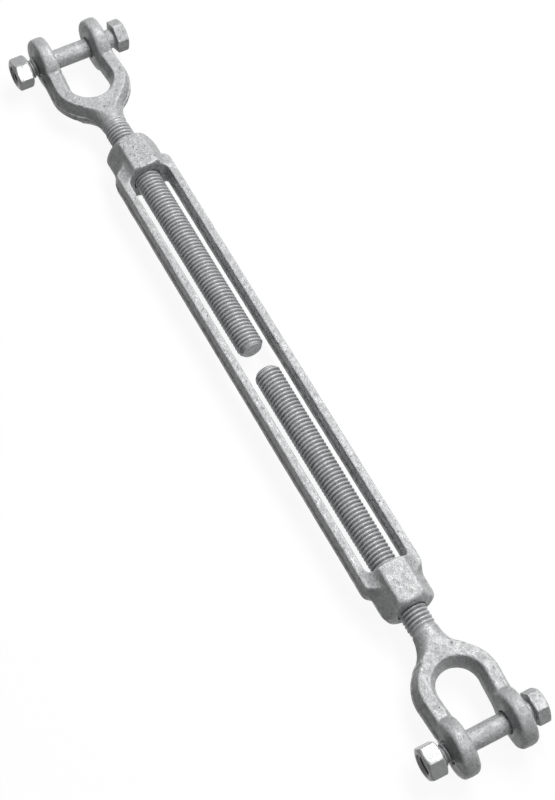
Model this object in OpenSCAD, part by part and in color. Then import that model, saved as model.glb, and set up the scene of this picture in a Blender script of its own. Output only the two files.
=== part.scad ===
// Jaw and jaw rigging turnbuckle, half inch by nine inch take-up, drop forged and galvanised.
// X runs along the screws, with the right-hand thread at -X and the left-hand thread at +X.
// Y runs along the jaw bolts, with their heads at +Y, and Z is up.
// The origin is midway between the two jaw bolts, on the screw axis. All lengths are in millimetres.

/* [Screws] */
// Outer diameter of the screw thread
screw_d = 12.7; // [11:0.1:12.7]
// Pitch of the screw thread, thirteen to the inch
screw_pitch = 1.954; // [1.5:0.001:2.4]
// Depth of the screw thread
screw_depth = 1.2; // [0.6:0.05:1.3]
// Length of each screw, from its tip to the neck of its jaw
screw_len = 141.6; // [136:0.1:155]
// Length of the bevel on each screw tip
tip_bevel = 1.6; // [0.5:0.1:2.5]
// Distance from the middle of the body to the tip of the right-hand screw
right_tip = 8.1; // [4:0.1:30]
// Distance from the middle of the body to the tip of the left-hand screw
left_tip = 4.4; // [4:0.1:30]
// Radial running clearance of a screw in its boss
screw_clear = 0.08; // [0.02:0.01:0.1]

/* [Body] */
// Clear length between the two bosses, which is the take-up
opening_len = 228.6; // [200:0.1:235]
// Length of each boss along the screw
boss_len = 21.1; // [16:0.1:24]
// Width of the boss hexagon across its flats
boss_af = 22.7; // [20:0.1:25]
// How far the bevel at the inner end of a boss runs in along the screw
boss_bevel = 1.2; // [0.5:0.1:2.5]
// Radius of the rounded corners at the outer end of a boss
boss_round = 5.1; // [2:0.1:6]
// Width of the slot between the rails
slot_w = 18.2; // [15:0.1:19]
// Radius in the corners of the slot
slot_fillet = 1.8; // [1:0.1:2.2]
// Width of each rail
rail_w = 5.9; // [5:0.1:7]
// Height of each rail
rail_h = 12; // [8:0.1:13]
// Width of the flat along the top and the bottom of each rail
rail_flat = 3.6; // [2.5:0.1:4.4]
// How far each rail runs on beside the boss
shoulder_len = 6.5; // [3:0.1:10]
// Radius of the rounded rail ends
shoulder_round = 5; // [2:0.1:6]

/* [Jaws] */
// Clear width between the two ears of a jaw
jaw_gap = 18.4; // [17:0.1:19.5]
// Depth of the jaw, from the bolt centre to the bottom of the throat
throat = 31.7; // [29:0.1:38]
// Diameter of each ear
ear_d = 26.4; // [24:0.1:30]
// Thickness of each ear at the bolt
ear_t = 9.4; // [8.6:0.1:10.6]
// Width of the flat along the crown of each ear
ear_flat = 5.8; // [4:0.1:8]
// Diameter of the flat face round the bolt on each ear
ear_face_d = 14; // [12:0.1:18]
// Radius of the edges of the ear crown
ear_round = 1; // [0.4:0.1:1.8]
// Clear width between the two arms where they leave the bend
bend_gap = 19.8; // [19:0.1:23]
// Width of each arm across its side ridges, where it leaves the bend
arm_w = 10; // [8:0.1:10.5]
// Width of each arm across its side ridges, where it ends in its ear
arm_end_w = 10.4; // [9:0.1:11]
// How far behind the bolt centre each arm ends
arm_end = 6; // [5.8:0.1:8]
// Width of the flat along the top and the bottom of each arm
arm_flat = 5.4; // [3:0.1:7]
// Height of each arm
arm_h = 12.4; // [11:0.1:14]
// Diameter of the neck where the thread ends
neck_d = 12.5; // [11.5:0.1:15]
// Length of the straight part of the neck
neck_len = 0.6; // [0.2:0.1:3]
// Radius of the flare from the neck into the arms
neck_flare = 15.4; // [10:0.2:20]
// Radial clearance of the bolt in the ears
ear_clear = 0.4; // [0.2:0.05:0.8]

/* [Bolts and nuts] */
// Diameter of the jaw bolts
bolt_d = 9.525; // [8:0.025:10]
// Pitch of the bolt thread, sixteen to the inch
bolt_pitch = 1.5875; // [1.25:0.0125:1.75]
// Depth of the bolt thread
bolt_depth = 0.95; // [0.5:0.05:1]
// Length of the thread on each bolt
bolt_thread = 16; // [12:0.5:24]
// Length of each bolt under its head
bolt_len = 50; // [48:0.1:56]
// Width of the bolt head across its flats
head_af = 14.29; // [13:0.01:16]
// Height of the bolt head
head_h = 6.35; // [5:0.05:7]
// Width of the nut across its flats
nut_af = 14.29; // [13:0.01:16]
// Height of the nut
nut_h = 8.35; // [7:0.01:9]
// How far the bevel on the corners of a head or nut runs in
hex_bevel = 1; // [0.3:0.1:1.5]
// Radial running clearance of a bolt in its nut
nut_clear = 0.06; // [0.03:0.01:0.1]
// Gap between the right-hand nut and its ear
right_nut_gap = 3.7; // [0.3:0.1:4]
// Gap between the right-hand bolt head and its ear
right_head_gap = 4.4; // [3.4:0.1:5]
// Gap between the left-hand nut and its ear
left_nut_gap = 3.5; // [0.3:0.1:4]
// Gap between the left-hand bolt head and its ear
left_head_gap = 2.5; // [2.3:0.1:4]
// Turn of the right-hand nut about its bolt, in degrees
right_nut_turn = 40; // [0:1:60]
// Turn of the right-hand bolt head, in degrees
right_head_turn = 32; // [0:1:60]
// Turn of the left-hand nut about its bolt, in degrees
left_nut_turn = 52; // [0:1:60]
// Turn of the left-hand bolt head, in degrees
left_head_turn = 59; // [0:1:60]

/* [Hidden] */
$fn = 96;

forging = [0.70, 0.71, 0.72];
plating = [0.76, 0.77, 0.78];

// Straight steps in each round stretch of an outline
arc_steps = 8;
// How far a solid runs into its neighbour in the same forging
bite = 0.5;
// How far a cut runs past the face that it opens
past = 1;
// Thickness of the end slices that an arm is drawn between
slice = 0.1;

screw_r = screw_d / 2;
corner_r = boss_af / sqrt(3);
rail_y = (slot_w + rail_w) / 2;
rail_out_y = slot_w / 2 + rail_w;
rail_len = opening_len + 2 * shoulder_len;
ear_y = (jaw_gap + ear_t) / 2;
ear_out_y = jaw_gap / 2 + ear_t;
bend_in_r = bend_gap / 2;
bend_mid_r = bend_in_r + arm_w / 2;
bend_out_r = bend_in_r + arm_w;
bend_x = bend_in_r - throat;
flare_y = neck_d / 2 + neck_flare;
flare_x = sqrt(pow(bend_out_r - bite + neck_flare, 2) - pow(flare_y, 2));
jaw_len = flare_x + neck_len - bend_x;
body_x = (right_tip - left_tip) / 2;
mid_tip = (right_tip + left_tip) / 2;
neck_x = mid_tip + screw_len;
bolt_x = neck_x + jaw_len;

// Turns a shape drawn along Z so that it runs along +X
module along_x() rotate([0, 90, 0]) children();

// Turns a shape drawn along Z so that it runs along +Y
module along_y() rotate([-90, 0, 0]) children();

// Draws a shape and its mirror image across the plane square to an axis
module both(axis) for (s = [0, 1]) mirror(s * axis) children();

// Points on an arc about c, from angle a0 to a1
function arc(c, r, a0, a1) =
    [for (i = [0 : arc_steps]) let (a = a0 + (a1 - a0) * i / arc_steps) c + r * [cos(a), sin(a)]];

// One tooth of a thread: the root flat is a quarter of the pitch and the crest flat an eighth
function thread_tooth(r, depth, pitch) = [
    [r - depth, pitch * 1 / 8],
    [r, pitch * 7 / 16],
    [r, pitch * 9 / 16],
    [r - depth, pitch * 7 / 8]
];

// Radius against length along a threaded rod, from its bevelled tip at zero
function thread_outline(r, depth, pitch, len, tip) =
    let (count = floor((len - tip) / pitch), start = len - count * pitch)
    concat(
        [[0, 0], [r - depth - tip / 3, 0], [r - depth, tip / 2]],
        [for (i = [0 : count - 1], p = thread_tooth(r, depth, pitch)) [p.x, start + i * pitch + p.y]],
        [[r - depth, len], [0, len]]
    );

// A threaded rod along +Z with its tip at zero
module threaded_rod(r, depth, pitch, len, tip)
    rotate_extrude() polygon(thread_outline(r, depth, pitch, len, tip));

// A hexagonal prism along +Z whose corners are bevelled at the low and the high end
module hex_block(af, h, low, high) {
    tip_r = af / sqrt(3);
    intersection() {
        cylinder(r = tip_r, h = h, $fn = 6);
        rotate_extrude() polygon([
            [0, 0], [tip_r - 2 * low, 0], [tip_r + bite, low + bite / 2],
            [tip_r + bite, h - high - bite / 2], [tip_r - 2 * high, h], [0, h]
        ]);
    }
}

// Radius against length along the boss, with a bevel at the inner end and round corners at the outer end
function boss_outline() = concat(
    [[0, 0], [corner_r - 2 * boss_bevel, 0], [corner_r, boss_bevel]],
    arc([corner_r - boss_round, boss_len - boss_round], boss_round, 0, 90),
    [[0, boss_len]]
);

// A boss along +X with its flats up and down and its corners at the rails
module boss()
    along_x() rotate([0, 0, 30]) intersection() {
        cylinder(r = corner_r, h = boss_len, $fn = 6);
        rotate_extrude() polygon(boss_outline());
    }

// Half the plan of a rail, whose round end turns in beside the boss
function rail_plan() =
    let (end = rail_len / 2, c = [end - shoulder_round, rail_out_y - shoulder_round])
    concat([[0, 0], [end, 0]], arc(c, shoulder_round, 0, 90), [[0, rail_out_y]]);

// The section of a rail, with a flat at the top and the bottom and a ridge along each side
function rail_section() = [
    [0, -rail_w / 2], [rail_h / 2, -rail_flat / 2], [rail_h / 2, rail_flat / 2],
    [0, rail_w / 2], [-rail_h / 2, rail_flat / 2], [-rail_h / 2, -rail_flat / 2]
];

// One rail at +Y, a bar with drafted sides
module rail()
    intersection() {
        translate([-rail_len / 2, rail_y, 0])
            along_x() linear_extrude(rail_len) polygon(rail_section());
        linear_extrude(rail_h + past, center = true)
            both([1, 0, 0]) polygon(rail_plan());
    }

// Fills the corner of the slot at +X and +Y with a round
module slot_corner()
    translate([opening_len / 2, slot_w / 2, 0])
        linear_extrude(rail_h / 2, center = true)
            polygon(concat(
                [[-slot_fillet, rail_w / 2], [bite, rail_w / 2], [bite, -slot_fillet]],
                arc([-slot_fillet, -slot_fillet], slot_fillet, 0, 90)
            ));

module body()
    color(forging)
        translate([body_x, 0, 0]) difference() {
            union() {
                both([1, 0, 0]) translate([opening_len / 2, 0, 0]) boss();
                both([0, 1, 0]) rail();
                both([1, 0, 0]) both([0, 1, 0]) slot_corner();
            }
            both([1, 0, 0])
                translate([opening_len / 2 - past, 0, 0])
                    along_x() cylinder(r = screw_r + screw_clear, h = boss_len + 2 * past);
        }

// A screw whose tip points in at the middle of the body and whose end meets a jaw at +X
module screw()
    color(forging)
        translate([mid_tip, 0, 0])
            along_x() threaded_rod(screw_r, screw_depth, screw_pitch, screw_len, tip_bevel);

// Half the section of an ear about the bolt, thick at the bolt and narrow at the crown
function ear_outline() =
    let (r = ear_d / 2 - ear_round, w = ear_flat / 2 - ear_round)
    concat(
        [[0, -ear_t / 2], [ear_face_d / 2, -ear_t / 2]],
        arc([r, -w], ear_round, -90, 0),
        arc([r, w], ear_round, 0, 90),
        [[ear_face_d / 2, ear_t / 2], [0, ear_t / 2]]
    );

// One ear at +Y, a round eye
module ear()
    translate([0, ear_y, 0]) along_y() rotate_extrude() polygon(ear_outline());

// The section of an arm, with a flat at the top and the bottom and a ridge along each side
function arm_outline(w) = [
    [-w / 2, 0], [-arm_flat / 2, -arm_h / 2], [arm_flat / 2, -arm_h / 2],
    [w / 2, 0], [arm_flat / 2, arm_h / 2], [-arm_flat / 2, arm_h / 2]
];

// A thin slice of an arm, square to X
module arm_slice(w)
    rotate([90, 0, 90]) linear_extrude(slice) polygon(arm_outline(w));

// One arm at +Y, from the bend into its ear
module arm()
    hull() {
        translate([bend_x, bend_mid_r, 0]) arm_slice(arm_w);
        translate([-arm_end - slice, ear_y, 0]) arm_slice(arm_end_w);
    }

// The half ring that joins the two arms round the bottom of the throat
module bend()
    translate([bend_x, 0, 0])
        rotate([0, 0, 90]) rotate_extrude(angle = 180)
            translate([bend_mid_r, 0]) polygon(arm_outline(arm_w));

// Radius against length along the neck, measured from the centre of the bend
function neck_outline() = concat(
    [[0, -flare_x - neck_len], [neck_d / 2, -flare_x - neck_len]],
    arc([flare_y, -flare_x], neck_flare, 180, atan2(flare_x, -flare_y)),
    [[0, -bend_mid_r]]
);

// The round neck, which flares into the bend and is flattened to the height of the arms
module neck()
    translate([bend_x, 0, 0]) intersection() {
        along_x() rotate_extrude() polygon(neck_outline());
        translate([-flare_x - neck_len, 0, 0])
            along_x() linear_extrude(flare_x + neck_len) square([arm_h, 2 * bend_out_r], center = true);
    }

// A jaw about its bolt axis, with its neck at -X
module jaw()
    color(forging)
        difference() {
            union() {
                neck();
                bend();
                both([0, 1, 0]) arm();
                both([0, 1, 0]) ear();
            }
            translate([0, -ear_out_y - past, 0])
                along_y() cylinder(d = bolt_d + 2 * ear_clear, h = 2 * (ear_out_y + past));
        }

// A bolt whose head stands off its ear at +Y
module bolt(head_gap, turn)
    color(plating)
        translate([0, ear_out_y + head_gap - bolt_len, 0])
            along_y() {
                threaded_rod(bolt_d / 2, bolt_depth, bolt_pitch, bolt_thread, bolt_pitch);
                translate([0, 0, bolt_thread - bite]) cylinder(d = bolt_d, h = bolt_len - bolt_thread + 2 * bite);
                translate([0, 0, bolt_len]) rotate([0, 0, turn]) hex_block(head_af, head_h, 0, hex_bevel);
            }

// A nut that stands off its ear at -Y
module nut(nut_gap, turn)
    color(plating)
        translate([0, -ear_out_y - nut_gap - nut_h, 0])
            along_y() difference() {
                rotate([0, 0, turn]) hex_block(nut_af, nut_h, hex_bevel, hex_bevel);
                translate([0, 0, -past]) cylinder(r = bolt_d / 2 + nut_clear, h = nut_h + 2 * past);
            }

module right_hand_screw() mirror([1, 0, 0]) screw();
module left_hand_screw() screw();
module right_hand_jaw() mirror([1, 0, 0]) translate([bolt_x, 0, 0]) jaw();
module left_hand_jaw() translate([bolt_x, 0, 0]) jaw();
module right_hand_bolt() translate([-bolt_x, 0, 0]) bolt(right_head_gap, right_head_turn);
module left_hand_bolt() translate([bolt_x, 0, 0]) bolt(left_head_gap, left_head_turn);
module right_hand_nut() translate([-bolt_x, 0, 0]) nut(right_nut_gap, right_nut_turn);
module left_hand_nut() translate([bolt_x, 0, 0]) nut(left_nut_gap, left_nut_turn);

body();
right_hand_screw();
right_hand_jaw();
right_hand_bolt();
right_hand_nut();
left_hand_screw();
left_hand_jaw();
left_hand_bolt();
left_hand_nut();
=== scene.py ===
import math
import bmesh
import bpy
import numpy as np
import openvdb
from mathutils import Matrix, Vector


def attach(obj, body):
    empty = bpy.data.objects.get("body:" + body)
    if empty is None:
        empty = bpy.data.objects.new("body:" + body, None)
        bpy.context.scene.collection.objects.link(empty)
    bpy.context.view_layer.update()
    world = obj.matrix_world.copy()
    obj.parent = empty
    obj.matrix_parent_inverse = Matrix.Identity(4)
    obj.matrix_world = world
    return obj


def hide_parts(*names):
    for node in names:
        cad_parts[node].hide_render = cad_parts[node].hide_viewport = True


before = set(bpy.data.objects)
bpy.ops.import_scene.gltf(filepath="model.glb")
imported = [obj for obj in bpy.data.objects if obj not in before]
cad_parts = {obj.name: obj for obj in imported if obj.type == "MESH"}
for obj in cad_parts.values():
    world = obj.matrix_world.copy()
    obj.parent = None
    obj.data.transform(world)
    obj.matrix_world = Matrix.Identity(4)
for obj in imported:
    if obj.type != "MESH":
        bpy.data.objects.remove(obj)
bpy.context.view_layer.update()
print("frame loaded")

mm = 0.001

# where the forgings stand along the screws, in millimetres
place = {
    "bodyX": 1.85,      # middle of the body
    "tipX": 6.25,       # both screw tips, from the origin
    "neckX": 147.85,    # end of each thread
    "boltX": 197.4955,  # both jaw bolts
}


def softMin(a, b, k):  # the smaller of two distances, with a fillet about k wide where they meet
    h = np.maximum(k - np.abs(a - b), 0) / k
    return np.minimum(a, b) - h * h * k / 4


def softMax(a, b, k):
    return -softMin(-a, -b, k)


def fade(distance, over):  # 0 to 1 over a length
    return np.clip(distance / over, 0, 1)


def roundCorner(p, q, r):  # distance to a corner of radius r, from distances past its two centre lines
    return np.hypot(np.maximum(p, 0), np.maximum(q, 0)) + np.minimum(np.maximum(p, q), 0) - r


# what the two dies left on the forgings
dieLine = {
    "blur": 0.12,     # half height of the step between the halves
    "trimAt": 0.05,   # middle of the strip where the flash was trimmed off
    "trimHigh": 0.4,  # half height of that strip
    "soft": 0.6,      # rounding between the upright band and the draft
}


def forgedSide(across, z, wide, flat, high, band):  # upright at the die line, then drafted in to a flat
    upright = np.where(z > 0, band[0], band[1])
    lean, rise = wide - flat / 2, high - upright
    draft = ((across - wide) * rise + (np.abs(z) - upright) * lean) / np.hypot(rise, lean)
    return softMax(across - wide, draft, dieLine["soft"])


def upperHalf(z):  # 0 below the die line and 1 above it
    return fade(z + dieLine["blur"], 2 * dieLine["blur"])


def trimStrip(z):  # 1 where the flash was trimmed off
    return np.exp(-((z - dieLine["trimAt"]) / dieLine["trimHigh"]) ** 4)


# slow unevenness of a hammered surface, as a few crossed waves
hammerMarks = {
    "layers": 5,
    "turn": 2.399,          # from each layer to the next, in radians
    "seedTurn": 1.7,
    "longer": (0.7, 0.21),  # length of the first layer, and what each next one adds
    "slip": (3.1, 1.7),     # phase that each layer adds, in plan and in depth
    "slant": (0.8, 0.6),
    "level": 2.6,           # brings the sum to about -1 to 1
}


def waves(x, y, z, size, seed):
    m = hammerMarks
    total = 0
    for i in range(m["layers"]):
        a = seed * m["seedTurn"] + i * m["turn"]
        f = 2 * math.pi / (size * (m["longer"][0] + m["longer"][1] * i))
        plan = np.sin(f * (math.cos(a) * x + math.sin(a) * y) + m["slip"][0] * i + seed)
        deep = np.sin(f * (m["slant"][0] * z + m["slant"][1] * math.sin(a + 1) * x) + m["slip"][1] * i)
        total = total + plan * deep
    return total / m["level"]


def uneven(field, x, y, z, marks):
    for height, size, seed in marks:
        field = field + height * waves(x, y, z, size, seed)
    return field


def moveAlong(far):  # shifts points along the screws
    return lambda p: p + np.array([far, 0, 0])


# the grid that a skin is drawn from: points beyond its ends, and the distance far outside
skinGrid = {"before": 3, "after": 4, "outside": 2.0}


def castSkin(name, field, low, high, step, move, rubAndHighlightMask=None, plain=None):  # a skin where the field is zero
    before, after = skinGrid["before"], skinGrid["after"]
    axes = [np.arange(a - before * d, b + after * d, d) for a, b, d in zip(low, high, step)]
    if plain is not None:  # fewer points along a plain stretch about the middle of x
        stretch, stride = plain
        ends = axes[0][np.abs(axes[0]) > stretch]
        axes[0] = np.sort(np.concatenate([ends, np.arange(-stretch, stretch, stride)]))
    x, y, z = np.meshgrid(*axes, indexing="ij", sparse=True)
    values = np.broadcast_to(field(x, y, z), [len(a) for a in axes])
    grid = openvdb.FloatGrid(skinGrid["outside"])
    grid.copyFromArray(np.ascontiguousarray(values, dtype=np.float32))
    points, quads = grid.convertToQuads(0.0)
    points = np.stack([np.interp(points[:, i], np.arange(len(a)), a) for i, a in enumerate(axes)], axis=1)
    quads = np.asarray(quads)
    rubbedAndHighlit = None if rubAndHighlightMask is None else rubAndHighlightMask(*points.T)
    points = move(points)
    p = points[quads]
    lift = np.cross(p[:, 2] - p[:, 0], p[:, 3] - p[:, 1])
    if (lift * p.mean(1)).sum() < 0:  # faces look outwards
        quads = quads[:, ::-1]
    mesh = bpy.data.meshes.new(name)
    mesh.from_pydata((points * mm).tolist(), [], quads.tolist())
    mesh.shade_smooth()
    # the die line's bright line, a painted highlight and rubbed zinc, kept as a point attribute
    if rubbedAndHighlit is not None:
        mesh.attributes.new("rubbedAndHighlit", "FLOAT", "POINT").data.foreach_set("value", rubbedAndHighlit.astype(np.float32))
    obj = bpy.data.objects.new(name, mesh)
    bpy.context.scene.collection.objects.link(obj)
    return obj


def settle(obj, node, material):
    obj.data.materials.append(material)
    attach(obj, node)
    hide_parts(node)


# camera at the photograph's view of the object
view = {
    "right": (0.474526, 0.879547, 0.034959),
    "down": (0.776337, -0.399464, -0.487575),
    "ahead": (-0.414880, 0.258507, -0.872381),
    "focal": 1925.87,            # in pixels
    "middle": (260.84, 364.35),  # pixel where the middle of the body falls
    "distance": 867.96,          # how far ahead the middle of the body is
    "image": (555, 800),
    "sensor": 24,
    "nearest": 0.01,             # in metres
}


def placeCamera():
    right, down, ahead = (Vector(view[k]).normalized() for k in ("right", "down", "ahead"))
    wide, tall = view["image"]
    reach = view["distance"]
    sideways = (view["middle"][0] - wide / 2) * reach / view["focal"]
    downward = (view["middle"][1] - tall / 2) * reach / view["focal"]
    eye = Vector((place["bodyX"], 0, 0)) - right * sideways - down * downward - ahead * reach
    cam = bpy.data.cameras.new("camera")
    cam.sensor_fit = "VERTICAL"
    cam.sensor_height = view["sensor"]
    cam.lens = view["focal"] * cam.sensor_height / tall
    cam.clip_start = view["nearest"]
    obj = bpy.data.objects.new("camera", cam)
    turn = Matrix((right, -down, -ahead)).transposed().to_4x4()
    obj.matrix_world = Matrix.Translation(eye * mm) @ turn
    bpy.context.scene.collection.objects.link(obj)
    bpy.context.scene.camera = obj


placeCamera()
print("camera placed")


class Nodes:
    def __init__(self, owner):
        owner.use_nodes = True
        self.tree = owner.node_tree
        self.tree.nodes.clear()

    def add(self, kind, **values):
        node = self.tree.nodes.new(kind)
        for key, value in values.items():
            if key in node.inputs:
                node.inputs[key].default_value = value
            else:
                setattr(node, key, value)
        return node

    def join(self, a, b):
        self.tree.links.new(a, b)

    def ramp(self, source, stops):
        node = self.add("ShaderNodeValToRGB")
        items = node.color_ramp.elements
        while len(items) < len(stops):
            items.new(0.5)
        for item, (where, value) in zip(items, stops):
            item.position = where
            item.color = value if isinstance(value, tuple) else (value, value, value, 1)
        self.join(source, node.inputs["Fac"])
        return node.outputs["Color"]

    def mix(self, kind, fac, a, b):
        node = self.add("ShaderNodeMix", data_type="RGBA", blend_type=kind)
        for socket, value in ((node.inputs[0], fac), (node.inputs[6], a), (node.inputs[7], b)):
            if isinstance(value, bpy.types.NodeSocket):
                self.join(value, socket)
            else:
                socket.default_value = value
        return node.outputs[2]

    def combine(self, kind, a, b):
        node = self.add("ShaderNodeMath", operation=kind)
        self.join(a, node.inputs[0])
        self.join(b, node.inputs[1])
        return node.outputs[0]

    def backdrop(self, lit, shown):  # one shader lights the object, the other is what is seen behind it
        path = self.add("ShaderNodeLightPath")
        seen = self.combine("MAXIMUM", path.outputs["Is Camera Ray"], path.outputs["Is Glossy Ray"])
        seen = self.combine("MAXIMUM", seen, path.outputs["Is Transmission Ray"])
        node = self.add("ShaderNodeMixShader")
        for i, source in enumerate((seen, lit, shown)):
            self.join(source, node.inputs[i])
        return node.outputs[0]

    def surface(self, kind, shader):
        self.join(shader, self.add(kind).inputs["Surface"])


# hot-dip zinc: grey mottling, bright flecks, dark pits and a slightly lumpy skin, with painted shade in
# corners and painted highlights on edges and along the die line
zincLook = {
    "base": (0.44, 0.447, 0.452, 1),
    "lineHighlightAndRub": (0.74, 0.745, 0.75, 1),  # bright line on the trimmed die line: painted highlight, and zinc rubbed bright there
    "pit": (0.18, 0.18, 0.185, 1),
    "metallic": 0.05,
    "gloss": 0.7,
    "roughLow": 0.28,
    "roughHigh": 0.5,
    "roughSpan": (0.35, 0.68),   # where the mottling turns from dull to smooth
    "seedWay": (1, 0.7, -1),     # which way a seed shifts the patterns
    "blotch": (0.11, 2, 0.5),    # scale to the millimetre, detail and roughness of each noise
    "mottle": (0.36, 3, 0.6),
    "grain": (1.2, 2, 0.65),
    "wander": (1.1, 2, 0.5),
    "cluster": (0.13, 2, 0.6),
    "blotchDark": 0.9,
    "blotchSpan": (0.34, 0.66),
    "mottleTone": [(0.34, 0.86), (0.5, 1.0), (0.66, 1.1)],  # where each tone stands on its pattern
    "grainTone": [(0.28, 0.55), (0.43, 0.93), (0.56, 1.03), (0.70, 1.33)],
    "edgeHighlightShadeWearTone": [(0.46, 0.55), (0.5, 1.0), (0.54, 1.5)],    # hollows darker as painted shade, edges lighter as painted highlight and wear
    "edgeHighlightShadeWearShare": 0.8,
    "paintedShadeTone": [(0.25, 0.3), (0.75, 1.0)],                 # painted shade in corners and creases
    "paintedShadeReach": 0.004,
    "paintedShadeSamples": 8,
    "lineTone": [(0.38, 0.15), (0.62, 0.85)],               # breaks up the bright line of painted highlight and rubbed zinc
    "pitEvery": 0.7,
    "pitWide": 0.36,
    "pitChance": (0.4, 0.8),     # not every cell has a pit
    "pitStray": 2.6,             # how far the cells are bent out of shape
    "pitPlaces": [(0.44, 0.35), (0.6, 1.0)],                # more pits in places
    "pitEdge": [(0.0, 1.0), (0.13, 0.0)],                   # 0 in a pit
    "lumps": (0.7, 0.00035),     # strength and height of each bump
    "skin": (0.9, 0.0002),
    "dents": (0.5, 0.0003),
}


def zinc(name, look, seed=0.0, fleck=1.0, pits=1.0, bump=1.0):
    material = bpy.data.materials.new(name)
    n = Nodes(material)
    coord = n.add("ShaderNodeTexCoord")
    shift = tuple(seed * way for way in look["seedWay"])
    mapping = n.add("ShaderNodeMapping", Location=shift, Scale=(1 / mm,) * 3)  # works in millimetres
    n.join(coord.outputs["Object"], mapping.inputs["Vector"])
    where = mapping.outputs["Vector"]

    def noise(kind, output="Fac"):
        scale, detail, rough = look[kind]
        node = n.add("ShaderNodeTexNoise", Scale=scale, Detail=detail, Roughness=rough)
        n.join(where, node.inputs["Vector"])
        return node.outputs[output]

    blotch, mottle, grain = noise("blotch"), noise("mottle"), noise("grain")

    dark = tuple(c * look["blotchDark"] for c in look["base"])
    base = n.ramp(blotch, list(zip(look["blotchSpan"], (dark, look["base"]))))
    base = n.mix("MULTIPLY", 1.0, base, n.ramp(mottle, look["mottleTone"]))
    base = n.mix("MULTIPLY", fleck, base, n.ramp(grain, look["grainTone"]))
    # pointiness: painted highlight and wear on edges, painted shade in hollows
    edge = n.add("ShaderNodeNewGeometry")
    base = n.mix("MULTIPLY", look["edgeHighlightShadeWearShare"], base, n.ramp(edge.outputs["Pointiness"], look["edgeHighlightShadeWearTone"]))
    # painted shade: ambient occlusion darkens the colour in corners and creases
    paintedShade = n.add("ShaderNodeAmbientOcclusion", samples=look["paintedShadeSamples"], only_local=True,
                 Distance=look["paintedShadeReach"])
    base = n.mix("MULTIPLY", 1.0, base, n.ramp(paintedShade.outputs["AO"], look["paintedShadeTone"]))
    # painted highlight along the die line, with zinc rubbed bright there
    rubbedAndHighlit = n.add("ShaderNodeAttribute", attribute_name="rubbedAndHighlit")
    broken = n.combine("MULTIPLY", rubbedAndHighlit.outputs["Fac"], n.ramp(mottle, look["lineTone"]))
    base = n.mix("MIX", broken, base, look["lineHighlightAndRub"])

    astray = n.add("ShaderNodeVectorMath", operation="MULTIPLY_ADD")
    n.join(noise("wander", "Color"), astray.inputs[0])
    astray.inputs[1].default_value = (look["pitStray"],) * 3
    n.join(where, astray.inputs[2])
    cells = n.add("ShaderNodeTexVoronoi", Scale=look["pitEvery"])
    n.join(astray.outputs[0], cells.inputs["Vector"])
    wide = n.ramp(cells.outputs["Color"], list(zip(look["pitChance"], (0.0, look["pitWide"]))))
    wide = n.mix("MULTIPLY", 1.0, wide, n.ramp(noise("cluster"), look["pitPlaces"]))
    hollow = n.ramp(n.combine("SUBTRACT", wide, cells.outputs["Distance"]), look["pitEdge"])
    base = n.mix("MULTIPLY", pits, base, n.mix("MIX", hollow, look["pit"], (1, 1, 1, 1)))

    shader = n.add("ShaderNodeBsdfPrincipled", Metallic=look["metallic"])
    shader.inputs["Specular IOR Level"].default_value = look["gloss"]
    n.join(base, shader.inputs["Base Color"])
    rough = n.ramp(mottle, list(zip(look["roughSpan"], (look["roughHigh"], look["roughLow"]))))
    n.join(rough, shader.inputs["Roughness"])

    normal = None
    for kind, height, share in (("lumps", mottle, bump), ("skin", grain, bump), ("dents", hollow, pits)):
        strength, high = look[kind]
        relief = n.add("ShaderNodeBump", Strength=strength * share, Distance=high)
        n.join(height, relief.inputs["Height"])
        if normal is not None:
            n.join(normal, relief.inputs["Normal"])
        normal = relief.outputs["Normal"]
    n.join(normal, shader.inputs["Normal"])
    n.surface("ShaderNodeOutputMaterial", shader.outputs["BSDF"])
    return material


threadLook = dict(zincLook, base=(0.38, 0.39, 0.4, 1), gloss=0.9, roughLow=0.24, roughHigh=0.38)
nutLook = dict(zincLook, base=(0.38, 0.385, 0.39, 1), gloss=0.85, roughLow=0.1, roughHigh=0.16)
forgedZinc = zinc("forgedZinc", zincLook)
threadZinc = zinc("threadZinc", threadLook, seed=31, fleck=0.6, pits=0.3, bump=0.6)
boltZinc = zinc("boltZinc", zincLook, seed=57)
nutZinc = zinc("nutZinc", nutLook, seed=83, fleck=0.25, pits=0.2, bump=0.15)
print("zinc finishes made")


# the open body: two hexagonal bosses and two rails, one forging
bodySize = {
    "opening": 228.6,
    "bossLen": 21.1,
    "bossFlats": 22.7,
    "slant": (0.866, 0.5),      # which way the slanted flats face, across and up
    "bossBevel": 1.2,
    "bevelSlope": 2,
    "bossRound": 5.1,
    "bore": 6.52,
    "slot": 18.2,
    "railWide": 5.9,
    "railHigh": 12.0,
    "railFlat": 3.6,
    "shoulder": 6.5,
    "shoulderRound": 5.0,
    "fillet": 4.0,              # where the rails run into the bosses
    "ledge": 0.55,              # step where the two dies met, out to the lower half
    "bossLedge": 0.8,           # share of that step on the slanted flats
    "band": (1.6, 3.0),         # how far the sides stand upright above and below the die line
    "trimFrom": (8.0, 1.0),     # how far off the screws the bright line of painted highlight and rubbed zinc starts, and over what length
    "uneven": [(0.07, 17, 1.0), (0.03, 5, 4.0)],  # height, length and seed of the hammer marks
    "step": (0.52, 0.3, 0.26),
    "plainRail": (104.0, 2.4),  # half length and spacing of the points along the rails
    "soft": {  # rounding of the edges
        "flats": 0.4, "outer": 0.8, "bevel": 0.5, "inner": 0.5, "rail": 0.6, "shoulder": 0.8, "bore": 0.7,
    },
}


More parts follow.
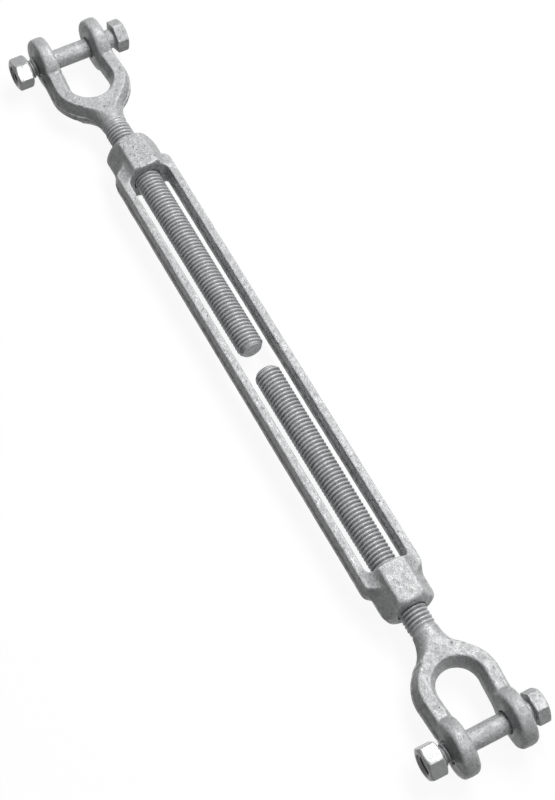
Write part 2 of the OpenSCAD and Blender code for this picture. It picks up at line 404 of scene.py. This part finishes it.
def bodyField(x, y, z):
    s, soft = bodySize, bodySize["soft"]
    ax, ay, az = np.abs(x), np.abs(y), np.abs(z)
    r = np.hypot(ay, az)
    step = s["ledge"] * upperHalf(z)

    u = ax - s["opening"] / 2  # from the inner face of a boss
    half, corner = s["bossFlats"] / 2, s["bossFlats"] / math.sqrt(3)
    slanted = s["slant"][0] * ay + s["slant"][1] * az - half + s["bossLedge"] * step
    hexagon = softMax(az - half, slanted, soft["flats"])
    bevel = ((r - corner) - s["bevelSlope"] * (u - s["bossBevel"])) / math.hypot(1, s["bevelSlope"])
    br = s["bossRound"]
    outer = roundCorner(u - (s["bossLen"] - br), r - (corner - br), br)
    inner = softMax(-u, bevel, soft["bevel"])
    boss = softMax(softMax(hexagon, outer, soft["outer"]), inner, soft["inner"])

    railY, high = (s["slot"] + s["railWide"]) / 2, s["railHigh"] / 2
    wide = s["railWide"] / 2 - step
    side = forgedSide(np.abs(ay - railY), z, wide, s["railFlat"], high, s["band"])
    section = softMax(side, az - high, soft["rail"])
    sr = s["shoulderRound"]
    end = s["opening"] / 2 + s["shoulder"]
    plan = roundCorner(ax - (end - sr), ay - (s["slot"] / 2 + s["railWide"] - sr), sr)
    rail = softMax(section, plan, soft["shoulder"])

    body = uneven(softMin(boss, rail, s["fillet"]), x, y, z, s["uneven"])
    return softMax(body, s["bore"] - r, soft["bore"])


def bodyRubAndHighlight(x, y, z):  # 1 along the trimmed die line of the rails and bosses, where a painted highlight and rubbed zinc lighten the colour
    start, over = bodySize["trimFrom"]
    return trimStrip(z) * fade(np.abs(y) - start, over)


def makeBody():
    s = bodySize
    high = (s["opening"] / 2 + s["bossLen"], s["slot"] / 2 + s["railWide"], s["bossFlats"] / 2)
    low = [-v for v in high]
    move = moveAlong(place["bodyX"])
    obj = castSkin("forged_body", bodyField, low, high, s["step"], move, bodyRubAndHighlight, s["plainRail"])
    settle(obj, "body", forgedZinc)


makeBody()
print("body forged")


# the jaws: a neck, a bend, two drafted arms and two eared ends
jawSize = {
    "gap": 18.4,
    "throat": 31.7,
    "earWide": 26.4,
    "earThick": 9.4,
    "earFlat": 5.8,
    "earFace": 14.0,
    "faceLong": 0.8,      # under 1, the flat of an ear is longer along the arm
    "earBulge": 0.035,    # how much the crown drops towards its edges
    "bendGap": 19.8,
    "armWide": 10.0,
    "armEndWide": 10.4,
    "armEnd": 6.0,
    "armFlat": 5.4,
    "armHigh": 12.4,
    "neck": 6.25,
    "flare": 15.4,
    "hole": 5.1625,
    "ledge": 0.6,         # step where the two dies met, on the outer sides only
    "ledgeFade": (2, 9),  # lengths that it comes in over, across an arm and along the flare
    "band": (1.6, 3.4),
    "trimEars": (10, 4),  # where the painted highlight and rubbed zinc of the die line fade out behind the bolt, and over what length
    "trimNeck": (45, 6),  # the same at the neck
    "trimInside": 14.5,   # the inner sides lie within this, and were not trimmed
    "uneven": [(0.07, 13, 2.0), (0.03, 4, 5.0)],
    "step": (0.35, 0.35, 0.25),
    "spare": 1,           # room beside the ears for the arms
    "soft": {
        "armEnd": 3.0, "ear": 0.8, "crown": 1.2, "earRoot": 0.8, "flare": 0.5, "neck": 0.4, "bend": 0.7,
        "top": 0.6, "hole": 0.8,
    },
}
bendX = jawSize["bendGap"] / 2 - jawSize["throat"]  # centre of the bend, from the bolt


def jawField(x, y, z):
    s, soft = jawSize, jawSize["soft"]
    ay, az = np.abs(y), np.abs(z)
    inner = s["bendGap"] / 2
    mid, outer = inner + s["armWide"] / 2, inner + s["armWide"]
    earY = (s["gap"] + s["earThick"]) / 2
    high = s["armHigh"] / 2

    t = x - bendX
    along = fade(t, -s["armEnd"] - bendX)
    ring = np.hypot(t, ay) - mid
    straight = ay - (mid + (earY - mid) * along)
    across = np.where(x < bendX, ring, straight)
    wide = s["armWide"] + (s["armEndWide"] - s["armWide"]) * along
    step = s["ledge"] * upperHalf(z) * fade(across, s["ledgeFade"][0])
    side = forgedSide(np.abs(across), z, wide / 2 - step, s["armFlat"], high, s["band"])
    arm = softMax(side, x + s["armEnd"], soft["armEnd"])

    r = np.hypot(x, z)
    v = np.abs(ay - earY)
    face, crown = s["earFace"] / 2, s["earWide"] / 2
    lean, drop = crown - face, (s["earThick"] - s["earFlat"]) / 2
    flat = v - s["earThick"] / 2
    draft = (flat * lean + (np.hypot(s["faceLong"] * x, z) - face) * drop) / math.hypot(lean, drop)
    rim = r - crown + s["earBulge"] * v * v
    ear = softMax(softMax(flat, draft, soft["ear"]), rim, soft["crown"])

    q = np.hypot(ay, az)
    flareY = s["neck"] + s["flare"]
    flareX = math.sqrt((outer + s["flare"]) ** 2 - flareY ** 2)
    curve = np.maximum(s["flare"] - np.hypot(t + flareX, q - flareY), q - flareY)
    cone = np.where(t < -flareX, q - s["neck"], curve)
    cone = cone + s["ledge"] * upperHalf(z) * fade(t + flareX, s["ledgeFade"][1])
    neck = softMax(softMax(cone, t + mid, soft["flare"]), -(t + flareX), soft["neck"])

    fork = softMax(softMin(arm, neck, soft["bend"]), az - high, soft["top"])
    jaw = uneven(softMin(fork, ear, soft["earRoot"]), x, y, z, s["uneven"])
    return softMax(jaw, s["hole"] - r, soft["hole"])


def jawRubAndHighlight(x, y, z):  # 1 along the trimmed die line of the arms, fading out at the ears and the neck; there a painted highlight and rubbed zinc lighten the colour
    (ears, earFade), (neck, neckFade) = jawSize["trimEars"], jawSize["trimNeck"]
    outside = np.hypot(np.minimum(x - bendX, 0), y) > jawSize["trimInside"]
    return trimStrip(z) * fade(-x - ears, earFade) * fade(x + neck, neckFade) * outside


def makeJaw(name, node, side):
    s = jawSize
    neckEnd = place["neckX"] - place["boltX"]
    wide = s["gap"] / 2 + s["earThick"] + s["spare"]
    crown = s["earWide"] / 2

    def move(p):
        return moveAlong(place["boltX"])(p) * np.array([side, 1, 1])

    obj = castSkin(name, jawField, (neckEnd, -wide, -crown), (crown, wide, crown), s["step"], move, jawRubAndHighlight)
    settle(obj, node, forgedZinc)


makeJaw("forged_left_hand_jaw", "left_hand_jaw", 1)
makeJaw("forged_right_hand_jaw", "right_hand_jaw", -1)
print("jaws forged")


# the screws, with real helices: right-hand at -X and left-hand at +X
screwSize = {
    "crest": 6.3,
    "depth": 0.9,
    "pitch": 1.954,
    "roundness": 1.4,  # over 1, broad crests and narrow roots
    "tip": 4.7,
    "tipSlope": 0.8,   # how fast the tip widens to the full thread
    "end": 5.75,       # radius where the thread has run out at the neck
    "runOut": 4.0,
    "crestOut": 1.2,   # over 1, the crests keep their height for longer
    "rootOut": 0.7,    # under 1, the roots keep their depth for longer
    "intoNeck": 0.4,
    "around": 56,
    "samples": 10,     # rows in each turn of the thread
    "spareTurns": 3,
    "weld": 1e-6,      # in metres, as is the next
    "sliver": 1e-7,
    "sharp": 50,       # degrees, from where an edge is left sharp
}


def makeScrew(name, node, side):
    s = screwSize
    length = place["neckX"] - place["tipX"] + s["intoNeck"]
    turns = int(length / s["pitch"]) + s["spareTurns"]
    per = s["samples"]
    groove = [(0.5 - 0.5 * math.cos(2 * math.pi * i / per)) ** s["roundness"] for i in range(per)]
    rows = [((k + i / per) * s["pitch"], groove[i]) for k in range(-1, turns) for i in range(per)]
    made = bmesh.new()
    rings = []
    for x0, drop in rows:
        ring = []
        for j in range(s["around"]):
            a = 2 * math.pi * j / s["around"]
            x = min(max(x0 + s["pitch"] * j / s["around"], 0), length)
            full = min(max((length - x - s["intoNeck"]) / s["runOut"], 0), 1)
            crest = s["end"] + (s["crest"] - s["end"]) * min(1, full * s["crestOut"])
            r = crest - s["depth"] * drop * full ** s["rootOut"]
            r = min(r, s["tip"] + x * s["tipSlope"])
            y, z = r * math.cos(a), r * math.sin(a)
            ring.append(made.verts.new(((place["tipX"] + x) * side * mm, y * mm, z * mm)))
        rings.append(ring)
    for i in range(len(rings) - 1):
        for j in range(s["around"]):
            if j + 1 < s["around"]:
                quad = (rings[i][j], rings[i][j + 1], rings[i + 1][j + 1], rings[i + 1][j])
            elif i + per + 1 < len(rings):  # the seam joins a row to the one a turn further on
                quad = (rings[i][j], rings[i + per][0], rings[i + per + 1][0], rings[i + 1][j])
            else:
                continue
            made.faces.new(quad)
    bmesh.ops.remove_doubles(made, verts=made.verts, dist=s["weld"])
    bmesh.ops.dissolve_degenerate(made, edges=made.edges, dist=s["sliver"])
    bmesh.ops.holes_fill(made, edges=[e for e in made.edges if e.is_boundary], sides=0)
    bmesh.ops.recalc_face_normals(made, faces=made.faces)
    mesh = bpy.data.meshes.new(name)
    made.to_mesh(mesh)
    made.free()
    mesh.shade_smooth()
    mesh.set_sharp_from_angle(angle=math.radians(s["sharp"]))
    obj = bpy.data.objects.new(name, mesh)
    bpy.context.scene.collection.objects.link(obj)
    settle(obj, node, threadZinc)


makeScrew("threaded_left_hand_screw", "left_hand_screw", 1)
makeScrew("threaded_right_hand_screw", "right_hand_screw", -1)
print("screws threaded")


# bolts and nuts of the jaws
boltSize = {
    "radius": 4.7625,
    "pitch": 1.5875,
    "depth": 0.92,
    "crestFlat": 0.14,   # shares of a half pitch that the crest and the flank take
    "flank": 0.62,
    "threadLen": 16.0,
    "threadFade": 1.2,
    "threadEase": 0.85,  # evens out the distances on the steep flanks
    "length": 50.0,
    "tipBevel": 1.1,
    "headFlats": 14.29,
    "headHigh": 6.35,
    "intoHead": 1,       # how far the rod runs on inside the head
    "nutFlats": 14.29,
    "nutHigh": 8.35,
    "nutClear": 0.22,
    "countersink": 0.5,
    "bevel": 1.0,
    "bevelSlope": 1.8,
    "uneven": (0.03, 9, 3.0),
    "step": (0.25, 0.25, 0.25),
    "nutStep": (0.2, 0.2, 0.2),
    "spare": 0.5,        # room outside the corners
    "soft": {
        "flats": 0.35, "top": 1.2, "head": 0.6, "under": 0.4, "root": 0.6, "tip": 0.4, "rod": 0.3,
        "nutEnd": 0.5, "nut": 0.4, "nutBore": 0.25,
    },
}
fasteners = {
    "left": {"side": 1, "headGap": 2.5, "nutGap": 3.5, "headTurn": 59, "nutTurn": 52},
    "right": {"side": -1, "headGap": 4.4, "nutGap": 3.7, "headTurn": 32, "nutTurn": 40},
}
earFace = jawSize["gap"] / 2 + jawSize["earThick"]


def hexField(x, z, flats, turn):
    d = None
    for k in range(6):
        a = math.radians(30 - turn + 60 * k)
        plane = x * math.cos(a) + z * math.sin(a) - flats / 2
        d = plane if d is None else softMax(d, plane, boltSize["soft"]["flats"])
    return d


def bevelField(r, v, flats):  # the cone that takes the corners off, v past where it starts
    slope = boltSize["bevelSlope"]
    return ((r - flats / math.sqrt(3)) + slope * v) / math.hypot(1, slope)


def threadRadius(x, y, z):  # outer radius of the bolt thread at each point
    s = boltSize
    phase = y / s["pitch"] - np.arctan2(x, z) / (2 * math.pi)
    t = np.abs((phase % 1.0) - 0.5) * 2
    return s["radius"] - s["depth"] * fade(t - s["crestFlat"], s["flank"])


def makeBolt(name, node, f):
    s, soft = boltSize, boltSize["soft"]
    under = earFace + f["headGap"]
    tip = under - s["length"]

    def field(x, y, z):
        r = np.hypot(x, z)
        v = y - under
        top = bevelField(r, v - (s["headHigh"] - s["bevel"]), s["headFlats"])
        top = softMax(top, v - s["headHigh"], soft["top"])
        head = softMax(hexField(x, z, s["headFlats"], f["headTurn"]), top, soft["head"])
        head = softMax(head, -v, soft["under"])
        cut = fade(tip + s["threadLen"] - y, s["threadFade"])  # 1 where the thread is cut
        rod = (r - (s["radius"] + (threadRadius(x, y, z) - s["radius"]) * cut)) * s["threadEase"]
        end = ((r - (s["radius"] - s["tipBevel"])) - (y - tip)) / math.sqrt(2)
        rod = softMax(rod, softMax(tip - y, end, soft["tip"]), soft["rod"])
        rod = np.maximum(rod, v - s["intoHead"])
        height, size, seed = s["uneven"]
        return uneven(softMin(head, rod, soft["root"]), x, y, z, [(height, size, seed + f["side"])])

    reach = s["headFlats"] / math.sqrt(3) + s["spare"]
    low, high = (-reach, tip, -reach), (reach, under + s["headHigh"], reach)
    obj = castSkin(name, field, low, high, s["step"], moveAlong(f["side"] * place["boltX"]))
    settle(obj, node, boltZinc)


def makeNut(name, node, f):
    s, soft = boltSize, boltSize["soft"]
    top = -earFace - f["nutGap"]
    bottom = top - s["nutHigh"]

    def field(x, y, z):
        r = np.hypot(x, z)
        v = np.abs(y - (bottom + top) / 2) - s["nutHigh"] / 2
        ends = softMax(bevelField(r, v + s["bevel"], s["nutFlats"]), v, soft["nutEnd"])
        block = softMax(hexField(x, z, s["nutFlats"], f["nutTurn"]), ends, soft["nut"])
        mouth = s["radius"] + s["countersink"] + v
        bore = np.maximum(threadRadius(x, y, z) + s["nutClear"], mouth)
        return softMax(block, (bore - r) * s["threadEase"], soft["nutBore"])

    reach = s["nutFlats"] / math.sqrt(3) + s["spare"]
    low, high = (-reach, bottom, -reach), (reach, top, reach)
    obj = castSkin(name, field, low, high, s["nutStep"], moveAlong(f["side"] * place["boltX"]))
    settle(obj, node, nutZinc)


for hand, spec in fasteners.items():
    makeBolt(f"{hand}_hand_hex_bolt", f"{hand}_hand_bolt", spec)
    makeNut(f"{hand}_hand_hex_nut", f"{hand}_hand_nut", spec)
print("bolts and nuts made")


# pale floor, white to the camera, that keeps a faint shadow
floorLook = {
    "z": -13.5,
    "size": 6.0,     # in metres
    "glow": 0.93,
    "paint": 0.08,   # takes the shadow
    "bounce": 0.08,  # what the object gets back from below
}


def makeFloor():
    look = floorLook
    h, z = look["size"] / 2, look["z"] * mm
    mesh = bpy.data.meshes.new("floor")
    mesh.from_pydata([(-h, -h, z), (h, -h, z), (h, h, z), (-h, h, z)], [], [(0, 1, 2, 3)])
    obj = bpy.data.objects.new("floor", mesh)
    bpy.context.scene.collection.objects.link(obj)
    material = bpy.data.materials.new("paleFloor")
    n = Nodes(material)
    glow = n.add("ShaderNodeEmission", Strength=look["glow"])
    paint, bounce = (n.add("ShaderNodeBsdfDiffuse", Color=(look[k],) * 3 + (1,)) for k in ("paint", "bounce"))
    both = n.add("ShaderNodeAddShader")
    n.join(glow.outputs[0], both.inputs[0])
    n.join(paint.outputs[0], both.inputs[1])
    n.surface("ShaderNodeOutputMaterial", n.backdrop(bounce.outputs[0], both.outputs[0]))
    mesh.materials.append(material)


lightLook = {
    "sky": 0.02,   # what the open room adds from all round
    "white": 1.0,  # what the camera sees behind the object
    "key": {"at": (-0.2, 0.42, 0.96), "size": (0.9, 0.35), "watts": 12.0},
    "side": {"at": (0.57, 0.19, 0.79), "size": (0.19, 0.19), "watts": 1.4},
}


def makeLights():
    world = bpy.data.worlds.new("studio")
    bpy.context.scene.world = world
    n = Nodes(world)
    sky, white = (n.add("ShaderNodeBackground", Color=(1, 1, 1, 1), Strength=lightLook[k])
                  for k in ("sky", "white"))
    n.surface("ShaderNodeOutputWorld", n.backdrop(sky.outputs[0], white.outputs[0]))
    for name in ("key", "side"):
        look = lightLook[name]
        lamp = bpy.data.lights.new(name, "AREA")
        lamp.shape = "RECTANGLE"
        lamp.size, lamp.size_y = look["size"]
        lamp.energy = look["watts"]
        obj = bpy.data.objects.new(name, lamp)
        back = Vector(look["at"]).normalized()
        along = (Vector((1, 0, 0)) - back * back.x).normalized()  # the long side runs with the screws
        turn = Matrix((along, back.cross(along), back)).transposed().to_4x4()
        obj.matrix_world = Matrix.Translation(look["at"]) @ turn
        bpy.context.scene.collection.objects.link(obj)


makeFloor()
makeLights()
bpy.context.scene.view_settings.view_transform = "Standard"
print("floor and lights set")
